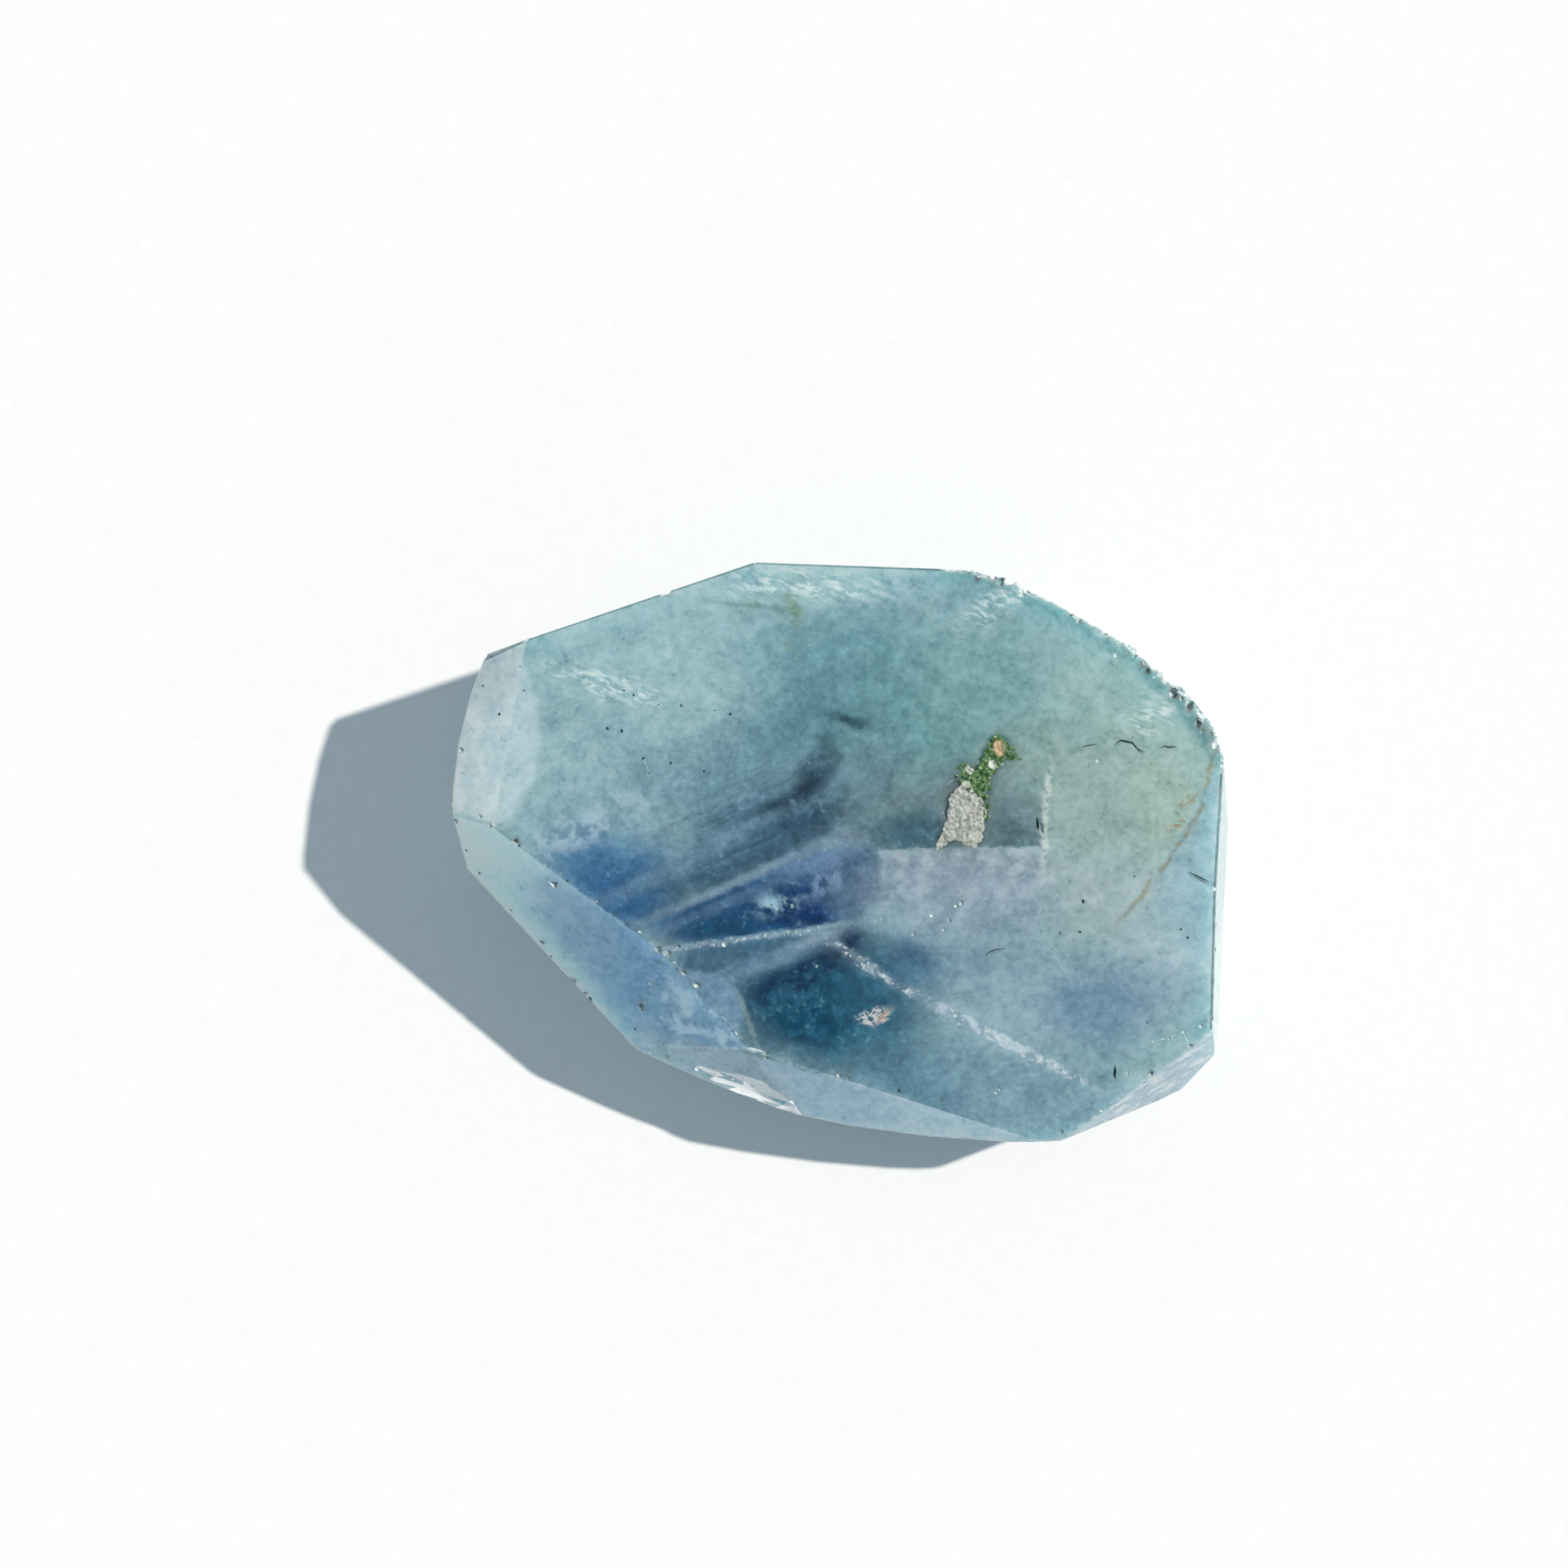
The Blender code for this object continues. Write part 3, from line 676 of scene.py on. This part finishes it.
# Broken skin is a frosty white over the stone's own teal, and cracks that light doesn't reach are dark.
ROUGH_SKINS = [
    # material, the two colours of its grains, where the second sets in
    (frosted, seen(112, 150, 154, BROKEN_LIGHT), seen(212, 224, 224, BROKEN_LIGHT), (0.4, 0.56)),
    (cracks, seen(10, 34, 38, BROKEN_LIGHT), seen(54, 92, 88, BROKEN_LIGHT), (0.45, 0.62)),
]
for material, low, high, (start_at, full_at) in ROUGH_SKINS:
    skin, place = bare_skin(material)
    chatter = place.turned(-16, (1.2, 0.4, 0.4)).clouds(0.9, 4.0, 0.65)
    colour = chatter.tinted((start_at, low), (full_at, high))
    if material is frosted:
        long_flake = place.vein((-15.6, -17.7), (-2.8, -21.5), 1.3, 1.0, 0.4)
        colour = colour.over(seen(240, 245, 245, FOOT_LIGHT), long_flake * chatter.ease(0.2, 0.4))
    dress(skin, colour, roughness=chatter.ease(0.3, 0.7, 0.3, 0.6), relief=chatter, strength=0.6, depth=0.05)
    skin.inputs["IOR"].default_value = FLUORITE_IOR

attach(stone, "root")
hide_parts("fluorite_freeform")


# The matrix: a patch of the pale, grainy rock that the crystal grew around, with one thin arm. It sits in its
# hollow in the table and was ground level with it.

CRUST_DEPTH = 0.75
INSIDE_ONLY = 1
WELDED_WITHIN = 1e-5
OUTLINE_STEP = 0.12
WAVES_PER_MM = 2.3
ELSEWHERE = Vector((31, 17, 5))
WITHIN_CELL = (0.2, 0.8)
CLEAR_OF_RIM = 0.6
MATRIX_OUTLINE = [
    (8.75, 4.8), (9.3, 5.5), (9.8, 5.95), (10.7, 5.7), (11.35, 5.1), (11.95, 3.8), (11.8, 2.4), (11.6, 1.3),
    (11.0, 0.7), (10.2, 0.8), (9.4, 1.35), (8.75, 1.2), (8.2, 0.65), (7.6, 0.6), (8.05, 1.6), (8.6, 2.9), (8.85, 3.9),
]


def ragged(outline, wander):
    """A closed outline with more corners, moved to and fro as grown edges are."""
    corners = []
    for a, b in zip(outline, outline[1:] + outline[:1]):
        a, b = Vector(a), Vector(b)
        steps = max(1, round((b - a).length / OUTLINE_STEP))
        for step in range(steps):
            point = a.lerp(b, step / steps)
            spot = Vector((point.x, point.y, 0)) * WAVES_PER_MM
            push = Vector((noise.noise(spot), noise.noise(spot + ELSEWHERE)))
            corners.append(point + push * wander)
    return corners


def is_inside(point, corners):
    """Whether a point lies inside a closed outline."""
    inside = False
    for a, b in zip(corners, corners[1:] + corners[:1]):
        if (a.y > point.y) != (b.y > point.y):
            if point.x < a.x + (b.x - a.x) * (point.y - a.y) / (b.y - a.y):
                inside = not inside
    return inside


def crust(name, outline, wander, spacing, height):
    """A closed patch of grown mineral on the table. The height function says how far it stands out at a point."""
    rolls = random.Random(name)
    corners = ragged(outline, wander)
    low = Vector((min(c.x for c in corners), min(c.y for c in corners)))
    high = Vector((max(c.x for c in corners), max(c.y for c in corners)))
    points = list(corners)
    for column in range(int((high.x - low.x) / spacing)):
        for row in range(int((high.y - low.y) / spacing)):
            point = low + Vector((column + rolls.uniform(*WITHIN_CELL), row + rolls.uniform(*WITHIN_CELL))) * spacing
            clear = min((point - corner).length for corner in corners) > spacing * CLEAR_OF_RIM
            if clear and is_inside(point, corners):
                points.append(point)
    count = len(corners)
    border = [(index, (index + 1) % count) for index in range(count)]
    flat = geometry.delaunay_2d_cdt(points, border, [list(range(count))], INSIDE_ONLY, WELDED_WITHIN)
    mesh = bmesh.new()
    tops = [mesh.verts.new(on_crown(p.x, p.y, above=height(p))) for p in flat[0]]
    feet = [mesh.verts.new(on_crown(p.x, p.y, above=-CRUST_DEPTH)) for p in flat[0]]
    for triangle in flat[2]:
        mesh.faces.new([tops[index] for index in triangle])
        mesh.faces.new([feet[index] for index in reversed(triangle)])
    under = dict(zip(tops, feet))
    for edge in [edge for edge in mesh.edges if edge.is_boundary and edge.verts[0] in under]:
        a, b = edge.verts
        mesh.faces.new((a, b, under[b], under[a]))
    bmesh.ops.recalc_face_normals(mesh, faces=mesh.faces)
    bmesh.ops.scale(mesh, vec=(MM, MM, MM), verts=mesh.verts)
    for face in mesh.faces:
        face.smooth = True
    piece = bpy.data.objects.new(name, bpy.data.meshes.new(name))
    mesh.to_mesh(piece.data)
    mesh.free()
    bpy.context.scene.collection.objects.link(piece)
    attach(piece, "root")
    return piece


GRAINS_PER_MM = 3.2
GRAIN_TOP = 0.13
GRAIN_DEPTH = 0.16
GRAIN_LAYER = 3.0


def matrix_height(point):
    """Small grains side by side, ground nearly level with the table."""
    from_grain = noise.voronoi(Vector((point.x, point.y, GRAIN_LAYER)) * GRAINS_PER_MM)[0][0]
    return GRAIN_TOP - GRAIN_DEPTH * from_grain


matrix = crust("grainy_matrix", MATRIX_OUTLINE, wander=0.22, spacing=0.09, height=matrix_height)
rock = bpy.data.materials.new("grainy_rock")
skin, place = bare_skin(rock)
grains = place.node("TexVoronoi", {}, {"Vector": place, "Scale": 4.5}, "Color")
tone = place.node("SeparateColor", {}, {0: grains}, "Red")
GREYS = [(0.1, (140, 144, 138)), (0.5, (168, 170, 162)), (0.9, (196, 198, 190))]
colour = tone.tinted(*[(position, seen(*grey, BROKEN_LIGHT)) for position, grey in GREYS])
fine = place.clouds(0.35, 3.0)
colour = colour.over(seen(112, 122, 114, BROKEN_LIGHT), fine.ease(0.48, 0.34) * 0.6)
dress(skin, colour, roughness=tone.ease(0.0, 1.0, 0.35, 0.7), relief=fine, strength=0.6, depth=0.05)
matrix.data.materials.append(rock)


# The green crust: tiny mossy-looking grains of a green mineral that grew beside the matrix, with a rusty spot
# near its tip. It stands a hair proud of the table.

GREEN_OUTLINE = [
    (12.85, 10.45), (13.7, 9.7), (14.35, 8.9), (15.15, 8.05), (14.3, 7.95), (13.4, 8.1), (12.95, 7.6), (12.75, 6.9),
    (12.2, 6.4), (12.4, 5.6), (12.05, 4.9), (12.35, 4.0), (12.1, 3.0), (11.75, 3.4), (11.7, 4.5), (11.2, 5.3),
    (10.5, 5.5), (9.8, 5.9), (9.3, 6.7), (9.35, 7.6), (10.3, 7.75), (11.0, 7.15), (11.4, 7.6), (11.55, 8.3),
    (12.1, 9.3),
]
LUMP_TOP = 0.34
LARGE_LUMPS_PER_MM, LARGE_LUMP_DEPTH = 2.4, 0.42
SMALL_LUMPS_PER_MM, SMALL_LUMP_DEPTH = 5.5, 0.16
LUMP_LAYER = 7.0
TABLE_LEVEL = 19.9


def green_height(point):
    """Round lumps of a few sizes."""
    spot = Vector((point.x, point.y, LUMP_LAYER))
    from_large = noise.voronoi(spot * LARGE_LUMPS_PER_MM)[0][0]
    from_small = noise.voronoi(spot * SMALL_LUMPS_PER_MM)[0][0]
    return LUMP_TOP - LARGE_LUMP_DEPTH * from_large - SMALL_LUMP_DEPTH * from_small


green = crust("green_crust", GREEN_OUTLINE, wander=0.28, spacing=0.08, height=green_height)
moss = bpy.data.materials.new("green_mineral")
skin, place = bare_skin(moss)
fine = place.clouds(0.45, 4.0, 0.65)
GREENS = [(0.34, (30, 64, 38)), (0.52, (66, 108, 56)), (0.7, (122, 152, 92))]
colour = fine.tinted(*[(position, seen(*green_tone, BROKEN_LIGHT)) for position, green_tone in GREENS])
near = place.drift(0.8, 0.6, 3.0)
rusty_spot = near.pocket((13.0, 9.05, TABLE_LEVEL), (0.5, 0.6, 2), 0, 0.3, 0.8)
colour = colour.over(seen(206, 176, 140, BROKEN_LIGHT), rusty_spot)
# Painted highlights: a few white glints, and small glints all over, where the grains catch the light.
GLINT_SPOTS = [(10.6, 7.3), (10.3, 6.0), (12.5, 7.7)]
for x, y in GLINT_SPOTS:
    glint_spot = near.pocket((x, y, TABLE_LEVEL), (0.35, 0.35, 2), 0, 0.3, 0.85)
    colour = colour.over(seen(214, 222, 210, BROKEN_LIGHT), glint_spot)
sparks = place.node("TexVoronoi", {}, {"Vector": place, "Scale": 2.6}, "Distance").ease(0.2, 0.08)
colour = colour.over(seen(232, 240, 226, BROKEN_LIGHT), sparks * 0.8)
dress(skin, colour, roughness=fine.ease(0.3, 0.7, 0.3, 0.6), relief=fine, strength=0.7, depth=0.06)
green.data.materials.append(moss)


# The stone lies on plain pale card. The light is one bright, warm lamp from the right, as from a sun half-way up
# the sky, with soft, bluish light from all round.

FLOOR_REACH = 3.0
floor_mesh = bmesh.new()
bmesh.ops.create_grid(floor_mesh, x_segments=1, y_segments=1, size=FLOOR_REACH)
floor = bpy.data.objects.new("floor", bpy.data.meshes.new("floor"))
floor_mesh.to_mesh(floor.data)
floor_mesh.free()
bpy.context.scene.collection.objects.link(floor)
card = bpy.data.materials.new("pale_card")
skin, place = bare_skin(card)
paper = place.clouds(1.4, 4.0).tinted((0.3, (0.84, 0.84, 0.84, 1)), (0.7, (0.87, 0.87, 0.87, 1)))
card.node_tree.links.new(paper.output, skin.inputs["Base Color"])
skin.inputs["Roughness"].default_value = 0.9
floor.data.materials.append(card)

TOWARDS_LAMP = Vector((0.8, 0.28, 1.0))
LAMP_STRENGTH = 3.45
LAMP_COLOUR = (1.0, 0.93, 0.86)
LAMP_ANGLE = 1.5
SOFT_LIGHT_COLOUR = (0.30, 0.38, 0.435, 1)
lamp = bpy.data.lights.new("lamp", "SUN")
lamp.energy = LAMP_STRENGTH
lamp.color = LAMP_COLOUR
lamp.angle = math.radians(LAMP_ANGLE)
lamp_holder = bpy.data.objects.new("lamp", lamp)
lamp_holder.rotation_euler = TOWARDS_LAMP.to_track_quat("Z", "Y").to_euler()
bpy.context.scene.collection.objects.link(lamp_holder)
world = bpy.data.worlds.new("soft_light")
world.use_nodes = True
world.node_tree.nodes["Background"].inputs["Color"].default_value = SOFT_LIGHT_COLOUR
bpy.context.scene.world = world
bpy.context.scene.view_settings.view_transform = "Standard"


# The camera looks straight down, as the photograph does, from so far that the stone's sides hardly show. The frame
# is so many millimetres wide at the floor.

FRAME_WIDTH = 139.1
CAMERA_PLACE = Vector((-4.985, 6.05, 360.0))
camera = bpy.data.cameras.new("camera")
camera.lens = camera.sensor_width * CAMERA_PLACE.z / FRAME_WIDTH
camera_holder = bpy.data.objects.new("camera", camera)
camera_holder.location = CAMERA_PLACE * MM
bpy.context.scene.collection.objects.link(camera_holder)
bpy.context.scene.camera = camera_holder
